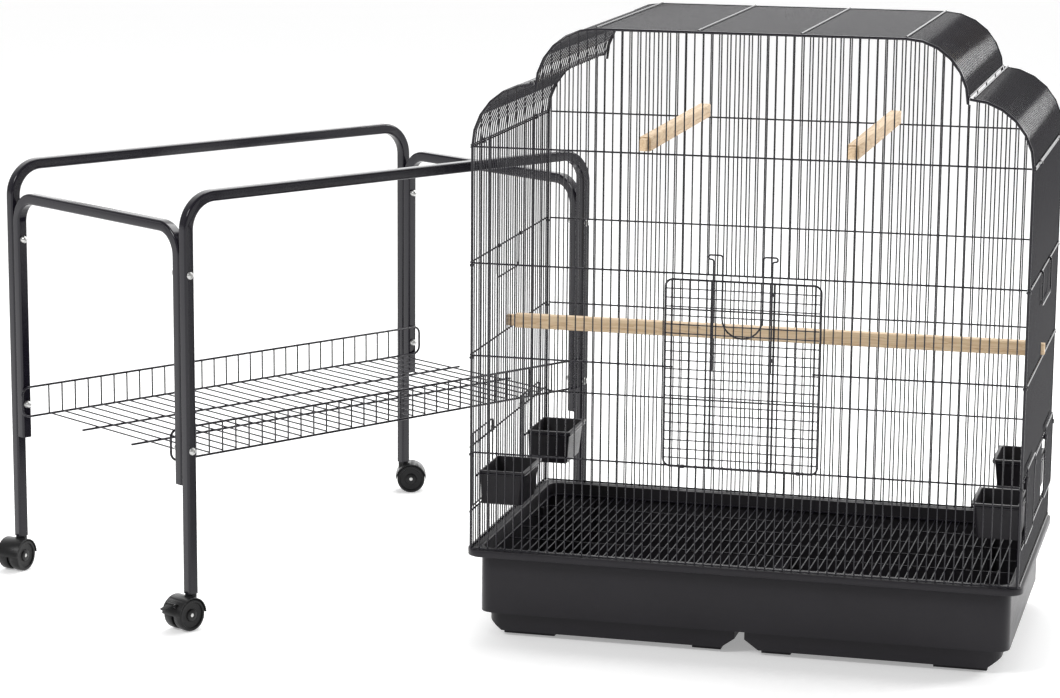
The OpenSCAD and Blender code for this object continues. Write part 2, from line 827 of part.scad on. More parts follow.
module end_frame(side) {
    color(black) place_stand() translate([side * leg_x, 0, 0]) difference() {
        rotate([0, 0, 90]) tube_frame(2 * short_leg_y, short_leg_z, short_rail_z, short_bend_r);
        translate([-side * leg_x, 0, 0]) bolt_holes();
    }
}

module front_rail_frame() {
    long_frame(-1);
}

module back_rail_frame() {
    long_frame(1);
}

module left_end_frame() {
    end_frame(-1);
}

module right_end_frame() {
    end_frame(1);
}

// a low dome on a short cylinder, base at the origin, pointing along Z
module dome(d, h) {
    base = h * 0.35;
    rise = h - base;
    ball_r = (pow(d / 2, 2) + pow(rise, 2)) / (2 * rise);
    cylinder(d = d, h = base);
    translate([0, 0, base]) intersection() {
        translate([0, 0, rise - ball_r]) sphere(r = ball_r);
        cylinder(d = d, h = rise + 1);
    }
}

// places each of the eight bolts, with Z along the bolt from its head towards its nut
module at_bolts() {
    place_stand() for (x = [-1, 1] * leg_x, z = [lower_bolt_z, upper_bolt_z], s = [-1, 1])
        translate([x, s * (leg_y + tube_s / 2), z]) rotate([s * 90, 0, 0]) children();
}

module frame_bolts() {
    color(zinc) at_bolts() {
        translate([0, 0, -seat_gap]) mirror([0, 0, 1]) dome(bolt_head_d, bolt_head_h);
        translate([0, 0, -seat_gap]) cylinder(d = bolt_d, h = bolt_grip + 5);
    }
}

module frame_nuts() {
    color(zinc) at_bolts() translate([0, 0, bolt_grip + seat_gap]) difference() {
        dome(bolt_head_d, 8);
        translate([0, 0, -1]) cylinder(d = bolt_d + 2 * seat_gap, h = 6.2);
    }
}

// plastic plugs in the feet of the long frames, bored for the caster stems
module leg_inserts() {
    plug_w = tube_s - 2 * tube_wall - 2 * seat_gap;
    color(charcoal) place_stand() for (k = [0 : 3]) translate([corner_x[k], corner_y[k], leg_z]) difference() {
        union() {
            linear_extrude(26) plate(plug_w, plug_w, 2.4);
            translate([0, 0, -1.2]) cylinder(d = tube_s, h = 1.2 - seat_gap);
            translate([0, 0, -0.5]) cylinder(d = plug_w - 1, h = 1);
        }
        translate([0, 0, -3]) cylinder(d = stem_d + 2 * running_gap, h = 40);
    }
}

// ---- shelf ----

module shelf_floor() {
    end_y = shelf_half_d - shelf_d - 3 * weld_gap;
    color(black) place_stand() {
        for (i = [1 : shelf_n - 1])
            rail_y(-shelf_x + i * 2 * shelf_x / shelf_n, -end_y, end_y, shelf_z, shelf_d);
        for (y = [-1 / 3, 1 / 3] * shelf_half_d)
            rail_x(-shelf_x, shelf_x, y, shelf_z - shelf_d / 2 - shelf_rod_d / 2 - weld_gap, shelf_rod_d);
    }
}

// the raised edge at +Y: a loop round the bolts, with the cross wires turned up inside it
module shelf_edge() {
    loop_l = stand_l + 22;
    loop_mid = shelf_z + shelf_edge_h / 2;
    rod_r = shelf_rod_d / 2;
    color(black) {
        translate([0, shelf_half_d + rod_r, loop_mid]) rotate([90, 0, 0])
            wire_loop(loop_l, shelf_edge_h + shelf_rod_d, 12, shelf_rod_d);
        for (i = [1 : shelf_n - 1])
            upright(-shelf_x + i * 2 * shelf_x / shelf_n, shelf_half_d - shelf_d / 2 - weld_gap,
                    shelf_z - shelf_d, shelf_z + shelf_edge_h + rod_r, shelf_d);
    }
}

module shelf_back_edge() {
    place_stand() shelf_edge();
}

module shelf_front_edge() {
    place_stand() mirror([0, 1, 0]) shelf_edge();
}

// ---- casters ----

// places a caster, with its swivel axis on Z and its wheels trailing towards -X
module at_caster(k) {
    place_stand() translate([corner_x[k], corner_y[k], 0]) rotate([0, 0, caster_turn[k]]) children();
}

// a cylinder along Y, centred on the axle
module on_axle(r, w) {
    translate([-trail, 0, wheel_r]) rotate([90, 0, 0]) cylinder(r = r, h = w, center = true, $fn = 64);
}

module caster_hood(k, brake) {
    boss_top = leg_z - 1.2 - slack;
    color(charcoal) at_caster(k) difference() {
        union() {
            intersection() {
                on_axle(hood_r, hood_w);
                translate([-trail - 2 * wheel_r, -hood_w, wheel_r + 1]) cube([4 * wheel_r, 2 * hood_w, 2 * wheel_r]);
            }
            on_axle(wheel_r - 3, web_w - 0.8);
            translate([0, 0, wheel_r]) cylinder(d = 17, h = boss_top - wheel_r);
            if (brake) for (s = [-1, 1]) hull() {
                translate([lever_x, s * (ear_y + ear_w / 2), lever_z]) rotate([90, 0, 0])
                    cylinder(d = 6, h = ear_w, center = true);
                translate([lever_x + 7, s * (ear_y + ear_w / 2), lever_z - 4]) rotate([90, 0, 0])
                    cylinder(d = 6, h = ear_w, center = true);
            }
        }
        for (s = [-1, 1]) translate([0, s * (web_w / 2 + hood_w / 2), 0]) on_axle(wheel_r + 0.8, hood_w);
        on_axle(axle_d / 2 + seat_gap, hood_w);
        translate([0, 0, 2 * wheel_r - 1]) cylinder(d = stem_d + 2 * seat_gap, h = 10);
        if (brake) translate([lever_x, 0, lever_z]) rotate([90, 0, 0])
            cylinder(d = lever_pin_d + 2 * hinge_gap, h = 4 * ear_y, center = true);
    }
}

// the stem that turns in the leg, and the wheels' axle
module caster_pins(k) {
    color(zinc) at_caster(k) {
        translate([0, 0, 2 * wheel_r - 0.8]) cylinder(d = stem_d, h = stem_top_z - 2 * wheel_r);
        on_axle(axle_d / 2, hood_w - 3);
    }
}

module caster_wheels(k) {
    color(black) at_caster(k) difference() {
        for (s = [-1, 1]) translate([0, s * (web_w / 2 + 0.4 + wheel_w / 2), 0]) on_axle(wheel_r, wheel_w);
        on_axle(axle_d / 2 + hinge_gap, 3 * wheel_w);
    }
}

// a small foot lever that pivots between the hood's ears
module brake_lever(k) {
    tab_l = 17;
    color(black) at_caster(k) translate([lever_x, 0, lever_z]) {
        rotate([90, 0, 0]) cylinder(d = 6, h = 2 * ear_y - 0.6, center = true);
        rotate([90, 0, 0]) cylinder(d = lever_pin_d, h = 2 * (ear_y + ear_w), center = true);
        rotate([0, -14, 0]) translate([-tab_l, -ear_y + 1.3, -1]) cube([tab_l, 2 * ear_y - 2.6, 2.6]);
    }
}

tub();
tub_rim();
tub_feet();
grille_ribs();
grille_frame();
floor_grille();
front_arch();
back_arch();
front_wall();
back_wall();
left_wall();
right_wall();
left_shoulder();
right_shoulder();
crown_top();
left_crown_side();
right_crown_side();
panel_clips();
door_hinge_clips();
cup_door_guides();
cup_holders();
front_door();
front_latch();
left_handle();
right_handle();
long_perch();
left_perch();
right_perch();
cup_front_left();
cup_back_left();
cup_front_right();
cup_back_right();
cup_door_front_left();
cup_door_back_left();
cup_door_front_right();
cup_door_back_right();
front_rail_frame();
back_rail_frame();
left_end_frame();
right_end_frame();
frame_bolts();
frame_nuts();
leg_inserts();
shelf_floor();
shelf_front_edge();
shelf_back_edge();
caster_hood(0, false);  // caster_hood_back_left
caster_hood(1, true);  // caster_hood_front_left
caster_hood(2, false);  // caster_hood_back_right
caster_hood(3, true);  // caster_hood_front_right
caster_pins(0);  // caster_pins_back_left
caster_pins(1);  // caster_pins_front_left
caster_pins(2);  // caster_pins_back_right
caster_pins(3);  // caster_pins_front_right
caster_wheels(0);  // caster_wheels_back_left
caster_wheels(1);  // caster_wheels_front_left
caster_wheels(2);  // caster_wheels_back_right
caster_wheels(3);  // caster_wheels_front_right
brake_lever(1);  // brake_lever_front_left
brake_lever(3);  // brake_lever_front_right
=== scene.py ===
from math import asin, ceil, cos, degrees, pi, radians, sin, sqrt

import bmesh
import bpy
from mathutils import Matrix, Vector


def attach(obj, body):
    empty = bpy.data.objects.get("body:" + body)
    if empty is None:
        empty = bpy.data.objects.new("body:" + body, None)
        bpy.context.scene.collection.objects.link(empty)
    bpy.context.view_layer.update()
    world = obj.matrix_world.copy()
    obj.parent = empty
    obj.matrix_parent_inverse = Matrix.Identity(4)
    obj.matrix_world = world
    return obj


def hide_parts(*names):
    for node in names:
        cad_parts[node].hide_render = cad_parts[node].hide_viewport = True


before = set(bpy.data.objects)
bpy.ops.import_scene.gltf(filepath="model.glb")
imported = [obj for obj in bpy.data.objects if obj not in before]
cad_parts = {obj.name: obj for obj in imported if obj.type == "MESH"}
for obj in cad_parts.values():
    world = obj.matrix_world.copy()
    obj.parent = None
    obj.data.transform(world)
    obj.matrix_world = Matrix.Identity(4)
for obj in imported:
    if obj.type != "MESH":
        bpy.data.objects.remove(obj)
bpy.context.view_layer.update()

MM = 0.001
X, Y, Z = Vector((1, 0, 0)), Vector((0, 1, 0)), Vector((0, 0, 1))

# ---- sizes of the cage, in millimetres ----

HALF_W, HALF_D = 387.5, 218.75
BAYS_W, BAYS_D = 62, 35
PITCH = 12.5
WIRE, CROSS, OUTLINE, MESH, DOOR_WIRE, THIN = 2.0, 2.6, 4.0, 1.8, 3.0, 2.5
GAP = 0.02
CROSS_OUT = (WIRE + CROSS) / 2 + GAP
WALL_FOOT, SHOULDER, TOP = 131.3, 709.0, 877.0
LEVELS = dict(lower=273.0, middle=413.0, upper=545.0)
SHOULDER_R, CROWN_R = 90.0, 85.0
VALLEY_X, VALLEY_Z = HALF_W - SHOULDER_R, SHOULDER + SHOULDER_R
CROWN_X, CROWN_Z = VALLEY_X - CROWN_R, TOP - CROWN_R
CROWN_START = asin((VALLEY_Z - CROWN_Z) / CROWN_R)
DOOR_Y, DOOR_W, DOOR_H = -224.27, 217.0, 264.0
LATCH_Y, LATCH_X = -229.12, 41.0
CUP_Y, CUP_OPENING, CUP_GAP_W = 137.5, (186.0, 277.7), 102.0


# ---- materials ----

class Shade:
    """A number on its way through a material; Python sums on it add Math nodes."""

    def __init__(self, finish, socket):
        self.finish, self.socket = finish, socket

    def _with(self, operation, first, second):
        pins = {0: first, 1: second}
        return self.finish.node("ShaderNodeMath", {"operation": operation}, pins).value("Value")

    def __add__(self, other):
        return self._with("ADD", self, other)

    def __sub__(self, other):
        return self._with("SUBTRACT", self, other)

    def __rsub__(self, other):
        return self._with("SUBTRACT", other, self)

    def __mul__(self, other):
        return self._with("MULTIPLY", self, other)

    def __pow__(self, other):
        return self._with("POWER", self, other)

    def at_least(self, other):
        return self._with("MAXIMUM", self, other)

    def at_most(self, other):
        return self._with("MINIMUM", self, other)

    __radd__, __rmul__ = __add__, __mul__


class Made:
    """A node just made, whose outputs are asked for by name."""

    def __init__(self, finish, node):
        self.finish, self.node = finish, node

    def value(self, name):
        return Shade(self.finish, self.node.outputs[name])


class Finish:
    """One material of the cage or its stand."""

    def __init__(self, name):
        self.material = bpy.data.materials.new(name)
        self.material.use_nodes = True
        self.tree = self.material.node_tree
        self.surface = self.tree.nodes["Principled BSDF"]
        self.place = self.node("ShaderNodeTexCoord", {}, {}).value("Object")

    def node(self, kind, settings, pins):
        node = self.tree.nodes.new(kind)
        for key, setting in settings.items():
            if key == "stops":
                ramp = node.color_ramp
                while len(ramp.elements) < len(setting):
                    ramp.elements.new(0.5)
                for element, (position, colour) in zip(ramp.elements, setting):
                    element.position, element.color = position, (*colour, 1)
            else:
                setattr(node, key, setting)
        for pin, given in pins.items():
            if isinstance(given, Shade):
                self.tree.links.new(given.socket, node.inputs[pin])
            else:
                node.inputs[pin].default_value = given
        return Made(self, node)

    def noise(self, scale, detail=3.0, rough=0.5, stretch=None):
        place = self.place
        if stretch:
            place = self.node("ShaderNodeMapping", {}, {"Vector": place, "Scale": stretch}).value("Vector")
        return self.node("ShaderNodeTexNoise", {}, {"Vector": place, "Scale": scale, "Detail": detail,
                                                   "Roughness": rough}).value("Fac")

    def mix(self, factor, first, second):
        made = self.node("ShaderNodeMix", {"data_type": "RGBA"}, {0: factor, 6: first, 7: second})
        return Shade(self, made.node.outputs[2])

    def wear(self, spread):
        """Nearly 1 on outward edges, from how sharply the surface turns there."""
        point = self.node("ShaderNodeNewGeometry", {}, {}).value("Pointiness")
        return ((point - 0.5) * spread).at_least(0.0).at_most(1.0)

    def bump(self, height, strength, distance):
        return self.node("ShaderNodeBump", {}, {"Height": height, "Strength": strength,
                                               "Distance": distance}).value("Normal")

    def set(self, **pins):
        names = dict(colour="Base Color", roughness="Roughness", metallic="Metallic", normal="Normal",
                     coat="Coat Weight", coat_roughness="Coat Roughness", specular="Specular IOR Level")
        for key, given in pins.items():
            pin = self.surface.inputs[names[key]]
            if isinstance(given, Shade):
                self.tree.links.new(given.socket, pin)
            else:
                pin.default_value = given
        return self.material


def rgb(r, g, b):
    return (r, g, b, 1.0)


def powder_coat(name, peel, specular=0.42, rough=0.11):
    """Gloss black powder coat with a fine orange peel and a faint dust."""
    finish = Finish(name)
    coarse = finish.noise(26.0, 4.0)
    fine = finish.noise(peel, 2.0)
    dust = (coarse - 0.45) * 2.0
    colour = finish.mix(dust.at_least(0.0).at_most(1.0), rgb(0.0068, 0.0058, 0.0105), rgb(0.0100, 0.0086, 0.0140))
    return finish.set(colour=colour, roughness=rough + 0.1 * coarse, specular=specular,
                      normal=finish.bump(fine, 0.2, 0.00015))


def moulded(name, base, light, grain, shine, specular):
    """Moulded plastic: fine grain, slow mottling, light scuffs along the edges."""
    finish = Finish(name)
    mottle = finish.noise(9.0, 5.0, 0.6)
    pores = finish.noise(grain, 2.0, 0.6)
    drag = finish.noise(14.0, 3.0, 0.5, (1.0, 1.0, 9.0))
    scuff = ((finish.noise(60.0, 4.0, 0.7, (1.0, 6.0, 3.0)) - 0.64) * 7.0).at_least(0.0).at_most(1.0)
    edge = finish.wear(9.0)
    mask = (0.3 * mottle + 0.22 * edge + 0.22 * scuff).at_most(1.0)
    colour = finish.mix(mask, base, light)
    return finish.set(colour=colour, specular=specular, roughness=shine + 0.1 * drag - 0.07 * edge + 0.06 * pores,
                      normal=finish.bump(pores + 0.4 * drag, 0.3, 0.0003))


def zinc(name):
    finish = Finish(name)
    bloom = finish.noise(240.0, 4.0, 0.6)
    colour = finish.mix(bloom, rgb(0.42, 0.42, 0.41), rgb(0.68, 0.68, 0.67))
    return finish.set(colour=colour, metallic=1.0, roughness=0.24 + 0.2 * bloom,
                      normal=finish.bump(bloom, 0.15, 0.0001))


def softwood(name, lengthwise):
    """Bare turned wood whose grain runs along one axis."""
    finish = Finish(name)
    along = 0.06 if lengthwise == "x" else 1.0
    across = 1.0 if lengthwise == "x" else 0.06
    stretch = (along, across, 1.0)
    slow = finish.noise(55.0, 3.0, 0.5, stretch)
    rings = finish.node("ShaderNodeMath", {"operation": "FRACT"}, {0: slow * 11.0}).value("Value")
    fibre = finish.noise(700.0, 3.0, 0.6, stretch)
    tone = finish.noise(8.0, 3.0)
    pale = finish.mix(tone, rgb(0.76, 0.57, 0.36), rgb(0.84, 0.67, 0.46))
    band = (0.55 * rings ** 2.2 + 0.3 * fibre).at_most(1.0)
    colour = finish.mix(band, pale, rgb(0.50, 0.31, 0.16))
    return finish.set(colour=colour, roughness=0.5 + 0.16 * fibre, normal=finish.bump(fibre + 0.5 * rings, 0.3, 0.0003))


wire_black = powder_coat("wire_powder_coat", 900.0)
tube_black = powder_coat("tube_powder_coat", 520.0)
grille_black = powder_coat("grille_powder_coat", 900.0, 0.16, 0.3)
tub_plastic = moulded("charcoal_plastic", rgb(0.0075, 0.0066, 0.0088), rgb(0.034, 0.031, 0.038), 2600.0, 0.3, 0.27)
cup_plastic = moulded("cup_plastic", rgb(0.0085, 0.0075, 0.0095), rgb(0.036, 0.033, 0.04), 3200.0, 0.28, 0.27)
hood_plastic = moulded("caster_hood_plastic", rgb(0.0045, 0.0045, 0.0048), rgb(0.024, 0.024, 0.025), 3000.0, 0.28, 0.3)
wheel_plastic = moulded("caster_wheel_plastic", rgb(0.0040, 0.0040, 0.0044), rgb(0.022, 0.022, 0.023), 2200.0, 0.33, 0.27)
zinc_plate = zinc("zinc_plate")
wood_along_x = softwood("perch_wood_long", "x")
wood_along_y = softwood("perch_wood_short", "y")


# ---- making wires and pieces ----

def at(x, y, z):
    return Vector((x, y, z)) * MM


def facing(along):
    return along.to_track_quat("Z", "Y").to_matrix().to_4x4()


def straight(bm, start, end, thick, sides=8):
    """A cut length of wire between two places given in millimetres."""
    start, end = at(*start), at(*end)
    along = end - start
    bmesh.ops.create_cone(bm, cap_ends=True, segments=sides, radius1=thick / 2 * MM, radius2=thick / 2 * MM,
                          depth=along.length, matrix=Matrix.Translation((start + end) / 2) @ facing(along))


def upright(bm, x, y, low, high, thick, sides=8):
    straight(bm, (x, y, low), (x, y, high), thick, sides)


def bent(bm, start, along, thick, moves, sides=8, closed=False):
    """A bent wire: each move is ("go", length) or ("turn", axis, radius, degrees)."""
    here, along = at(*start), along.normalized()
    ring = bmesh.ops.create_circle(bm, cap_ends=False, segments=sides, radius=thick / 2 * MM,
                                   matrix=Matrix.Translation(here) @ facing(along))
    first = edges = list({edge for vert in ring["verts"] for edge in vert.link_edges})
    for move in moves:
        if move[0] == "go":
            grown = bmesh.ops.extrude_edge_only(bm, edges=edges)["geom"]
            step = along * move[1] * MM
            bmesh.ops.translate(bm, verts=[g for g in grown if isinstance(g, bmesh.types.BMVert)], vec=step)
            edges = [g for g in grown if isinstance(g, bmesh.types.BMEdge)
                     and all(v in grown for v in g.verts)]
            here = here + step
        else:
            _, axis, radius, angle = move
            centre = here + axis.cross(along) * radius * MM
            steps = max(2, ceil(angle / 15))
            edges = [g for g in bmesh.ops.spin(bm, geom=edges, cent=centre, axis=axis, angle=radians(angle),
                                               steps=steps, use_merge=False)["geom_last"]
                     if isinstance(g, bmesh.types.BMEdge)]
            turn = Matrix.Rotation(radians(angle), 3, axis)
            here = centre + turn @ (here - centre)
            along = turn @ along
    if closed:
        bmesh.ops.remove_doubles(bm, verts=bm.verts, dist=1e-5)
    else:
        bmesh.ops.holes_fill(bm, edges=first + edges, sides=sides)


def loop(bm, centre, wide, tall, corner, thick, across, up, sides=8):
    """A closed rounded rectangle of wire, wide along across and tall along up."""
    middle, away = Vector(centre), across.cross(up)
    start = middle - across * (wide / 2 - corner) - up * tall / 2
    moves = []
    for length in (wide, tall, wide, tall):
        moves += [("go", length - 2 * corner), ("turn", away, corner, 90)]
    bent(bm, start, across, thick, moves, sides, closed=True)


def ring(bm, centre, axis, inner, outer, width, sides=20):
    """A flat band round a wire."""
    base = Matrix.Translation(at(*centre) - axis * width / 2 * MM) @ facing(axis)
    edges = []
    for radius in (inner, outer):
        made = bmesh.ops.create_circle(bm, cap_ends=False, segments=sides, radius=radius * MM, matrix=base)
        edges += list({edge for vert in made["verts"] for edge in vert.link_edges})
    faces = bmesh.ops.bridge_loops(bm, edges=edges)["faces"]
    grown = bmesh.ops.extrude_face_region(bm, geom=faces, use_keep_orig=True)["geom"]
    bmesh.ops.translate(bm, verts=[g for g in grown if isinstance(g, bmesh.types.BMVert)], vec=axis * width * MM)


def piece(name, bm, body, material, nodes, sharp=40):
    """Finishes a mesh as a piece that rides on a body and stands for CAD nodes."""
    bmesh.ops.recalc_face_normals(bm, faces=bm.faces)
    mesh = bpy.data.meshes.new(name)
    bm.to_mesh(mesh)
    bm.free()
    mesh.shade_smooth()
    mesh.set_sharp_from_angle(angle=radians(sharp))
    mesh.materials.append(material)
    made = bpy.data.objects.new(name, mesh)
    bpy.context.scene.collection.objects.link(made)
    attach(made, body)
    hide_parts(*nodes)
    return made


def softened(node, body, material, width, segments=2, sharp=35, name=None):
    """A copy of a CAD solid with its hard edges rounded."""
    bm = bmesh.new()
    bm.from_mesh(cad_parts[node].data)
    bmesh.ops.remove_doubles(bm, verts=bm.verts, dist=2e-6)
    bmesh.ops.dissolve_limit(bm, angle_limit=radians(0.6), verts=bm.verts, edges=bm.edges)
    if width:
        hard = [edge for edge in bm.edges if len(edge.link_faces) == 2 and edge.calc_face_angle(0) > radians(32)]
        bmesh.ops.bevel(bm, geom=hard, offset=width * MM, affect="EDGES", segments=segments, profile=0.5,
                        material=-1, clamp_overlap=True, offset_type="OFFSET")
    return piece(name or node + "_finished", bm, body, material, [node], sharp)


def turned_over(bm):
    """The same shape on the cage's other side."""
    bmesh.ops.scale(bm, vec=(-1, 1, 1), verts=bm.verts)


SIDES = {"right": 1, "left": -1}
BOTH = (-1, 1)


# ---- walls ----

def roof_height(x):
    if abs(x) > VALLEY_X:
        return SHOULDER + sqrt(max(0, SHOULDER_R ** 2 - (abs(x) - VALLEY_X) ** 2))
    if abs(x) > CROWN_X:
        return CROWN_Z + sqrt(max(0, CROWN_R ** 2 - (abs(x) - CROWN_X) ** 2))
    return TOP


def wall(end_word, side, doorway):
    bm = bmesh.new()
    y = side * HALF_D
    out = y + side * CROSS_OUT
    for s in BOTH:
        turn = -s * Y
        bent(bm, (s * HALF_W, y, WALL_FOOT), Z, OUTLINE,
             [("go", SHOULDER - WALL_FOOT), ("turn", turn, SHOULDER_R, 88.6)], 12)
    bent(bm, (VALLEY_X, y, CROWN_Z), Z, OUTLINE,
         [("turn", -Y, CROWN_R, 90), ("go", 2 * CROWN_X), ("turn", -Y, CROWN_R, 90)], 12)
    for i in range(1, BAYS_W):
        x = -HALF_W + i * PITCH
        top = roof_height(x) - OUTLINE / 2
        if doorway and abs(x) < 99:
            upright(bm, x, y, WALL_FOOT, LEVELS["lower"] + CROSS / 2, WIRE)
            upright(bm, x, y, LEVELS["upper"] - CROSS / 2, top, WIRE)
        elif abs(abs(x) - VALLEY_X) < OUTLINE:
            upright(bm, x, y, WALL_FOOT, CROWN_Z - 0.3, WIRE)
        else:
            upright(bm, x, y, WALL_FOOT, top, WIRE)
    end = HALF_W - OUTLINE / 2 - GAP
    for z in (WALL_FOOT + CROSS / 2, LEVELS["lower"], LEVELS["upper"], SHOULDER):
        straight(bm, (-end, out, z), (end, out, z), CROSS, 10)
    start = 98 if doorway else 0
    for s in BOTH:
        straight(bm, (s * start, out, LEVELS["middle"]), (s * end, out, LEVELS["middle"]), CROSS, 10)
    nodes = [end_word + "_wall", end_word + "_arch"]
    return piece(end_word + "_wall_wires", bm, "wire_cage", wire_black, nodes)


def side_wall(name, side):
    bm = bmesh.new()
    end = HALF_D - OUTLINE / 2 - GAP
    top = SHOULDER - 0.2
    for i in range(1, BAYS_D):
        y = -HALF_D + i * PITCH
        if abs(abs(y) - CUP_Y) < CUP_GAP_W / 2:
            upright(bm, HALF_W, y, WALL_FOOT, CUP_OPENING[0], WIRE)
            upright(bm, HALF_W, y, CUP_OPENING[1], top, WIRE)
        else:
            upright(bm, HALF_W, y, WALL_FOOT, top, WIRE)
    for z in (WALL_FOOT + CROSS / 2, CUP_OPENING[0] - CROSS / 2, CUP_OPENING[1] + CROSS / 2,
              LEVELS["middle"], LEVELS["upper"], top - CROSS / 2):
        straight(bm, (HALF_W + CROSS_OUT, -end, z), (HALF_W + CROSS_OUT, end, z), CROSS, 10)
    if side < 0:
        turned_over(bm)
    return piece(name + "_wires", bm, "wire_cage", wire_black, [name])


# ---- roof ----

def shoulder(name, side):
    bm = bmesh.new()
    end = HALF_D - OUTLINE / 2 - GAP
    foot = SHOULDER + 0.2
    for i in range(1, BAYS_D):
        bent(bm, (HALF_W, -HALF_D + i * PITCH, foot), Z, WIRE, [("turn", -Y, SHOULDER_R, 86)])
    reach = SHOULDER_R + CROSS_OUT
    for x, z in ((HALF_W + CROSS_OUT, foot + CROSS / 2),
                 (VALLEY_X + reach * cos(radians(85)), foot + reach * sin(radians(85)))):
        straight(bm, (x, -end, z), (x, end, z), CROSS, 10)
    if side < 0:
        turned_over(bm)
    return piece(name + "_wires", bm, "wire_cage", wire_black, [name])


def crown():
    bm = bmesh.new()
    end = HALF_D - OUTLINE / 2 - GAP
    lift = CROWN_START + radians(1)
    rise = 90 - degrees(lift)
    for i in range(1, BAYS_D):
        bent(bm, (CROWN_X + CROWN_R * cos(lift), -HALF_D + i * PITCH, CROWN_Z + CROWN_R * sin(lift)),
             Vector((-sin(lift), 0, cos(lift))), WIRE,
             [("turn", -Y, CROWN_R, rise), ("go", 2 * CROWN_X), ("turn", -Y, CROWN_R, rise)])
    for x in (-CROWN_X, -CROWN_X / 3, CROWN_X / 3, CROWN_X):
        straight(bm, (x, -end, TOP + CROSS_OUT), (x, end, TOP + CROSS_OUT), CROSS, 10)
    reach, foot = CROWN_R + CROSS_OUT, lift + radians(1)
    for s in BOTH:
        x, z = s * (CROWN_X + reach * cos(foot)), CROWN_Z + reach * sin(foot)
        straight(bm, (x, -end, z), (x, end, z), CROSS, 10)
    return piece("crown_wires", bm, "wire_cage", wire_black,
                 ["crown_top", "left_crown_side", "right_crown_side"])


# ---- door, latch and handles ----

def front_door():
    bm = bmesh.new()
    low, high = LEVELS["lower"], LEVELS["lower"] + DOOR_H
    inner = DOOR_WIRE / 2 + GAP
    loop(bm, (0, DOOR_Y, (low + high) / 2), DOOR_W, DOOR_H, 10, DOOR_WIRE, X, Z, 10)
    for i in range(-8, 9):
        upright(bm, i * PITCH, DOOR_Y, low + inner, high - inner, MESH)
    rows = round(DOOR_H / PITCH)
    row_y = DOOR_Y - MESH - GAP
    for j in range(1, rows):
        z = low + j * DOOR_H / rows
        straight(bm, (inner - DOOR_W / 2, row_y, z), (DOOR_W / 2 - inner, row_y, z), MESH)
    for s in BOTH:
        upright(bm, s * 3.5 * PITCH, DOOR_Y, low + inner, high - inner, DOOR_WIRE, 10)
        for z in (431, 523):
            ring(bm, (s * LATCH_X, LATCH_Y, z), Z, THIN / 2 + 0.08, 2.95, 5)
            bmesh.ops.create_cube(bm, size=MM, matrix=Matrix.Translation(at(s * 42.5, (LATCH_Y + DOOR_Y) / 2, z))
                                  @ Matrix.Diagonal((2.0, 2.4, 4.4, 1.0)))
    return piece("front_door_mesh", bm, "front_door", wire_black, ["front_door"])


def latch():
    bm = bmesh.new()
    bent(bm, (LATCH_X, LATCH_Y, 413), Z, THIN, [
        ("go", 152), ("turn", Y, 3, 90), ("go", 1), ("turn", -Y, 3, 180), ("go", 12.8), ("turn", -Y, 4, 90),
        ("go", 82.8), ("turn", Y, 28.2, 180), ("go", 82.8),
        ("turn", -Y, 4, 90), ("go", 12.8), ("turn", -Y, 3, 180), ("go", 1), ("turn", Y, 3, 90), ("go", 152)], 12)
    return piece("front_latch_wire", bm, "latch", wire_black, ["front_latch"])


def bail(name, side):
    bm = bmesh.new()
    x, half, drop, corner = 392.67, 62.5, 48, 10
    bent(bm, (x, half, LEVELS["upper"]), -Z, THIN, [
        ("go", drop - corner), ("turn", -X, corner, 90), ("go", 2 * (half - corner)), ("turn", -X, corner, 90),
        ("go", drop - corner)], 12)
    for s in BOTH:
        ring(bm, (HALF_W + CROSS_OUT, s * half, LEVELS["upper"]), Y, CROSS / 2 + 0.08, 2.88, 4)
    if side < 0:
        turned_over(bm)
    return piece(name + "_wire", bm, name, wire_black, [name])


# ---- feeder cups ----

def cup_holders():
    bm = bmesh.new()
    bar_x, z, r = 384.93, 234.15, 5
    half, front = 47.5 + 0.5 + THIN / 2, 383.08 - 63.5 - 0.5 - THIN / 2
    for s in BOTH:
        y = s * CUP_Y
        straight(bm, (bar_x, y - 62, z), (bar_x, y + 62, z), 3.1, 12)
        bent(bm, (bar_x, y + half, z), -X, THIN, [("go", bar_x - front - r), ("turn", Z, r, 90),
                                                 ("go", 2 * (half - r)), ("turn", Z, r, 90),
                                                 ("go", bar_x - front - r)], 10)
    other = bmesh.ops.duplicate(bm, geom=bm.verts[:] + bm.edges[:] + bm.faces[:])["geom"]
    bmesh.ops.scale(bm, vec=(-1, 1, 1), verts=[g for g in other if isinstance(g, bmesh.types.BMVert)])
    return piece("cup_holder_wires", bm, "wire_cage", wire_black, ["cup_holders"])


def cup_door(corner, side, end):
    bm = bmesh.new()
    x, y, low, high, wide = 392.77, end * CUP_Y, 187.25, 293.0, 111.0
    loop(bm, (x, y, (low + high) / 2), wide, high - low, 6, THIN, Y, Z, 10)
    for k in range(-3, 4):
        upright(bm, x, y + k * wide / 8.6, low + THIN / 2, high - THIN / 2, WIRE)
    if side < 0:
        turned_over(bm)
    node = "cup_door_" + corner
    return piece(node + "_wires", bm, node, wire_black, [node])


# ---- floor grille ----

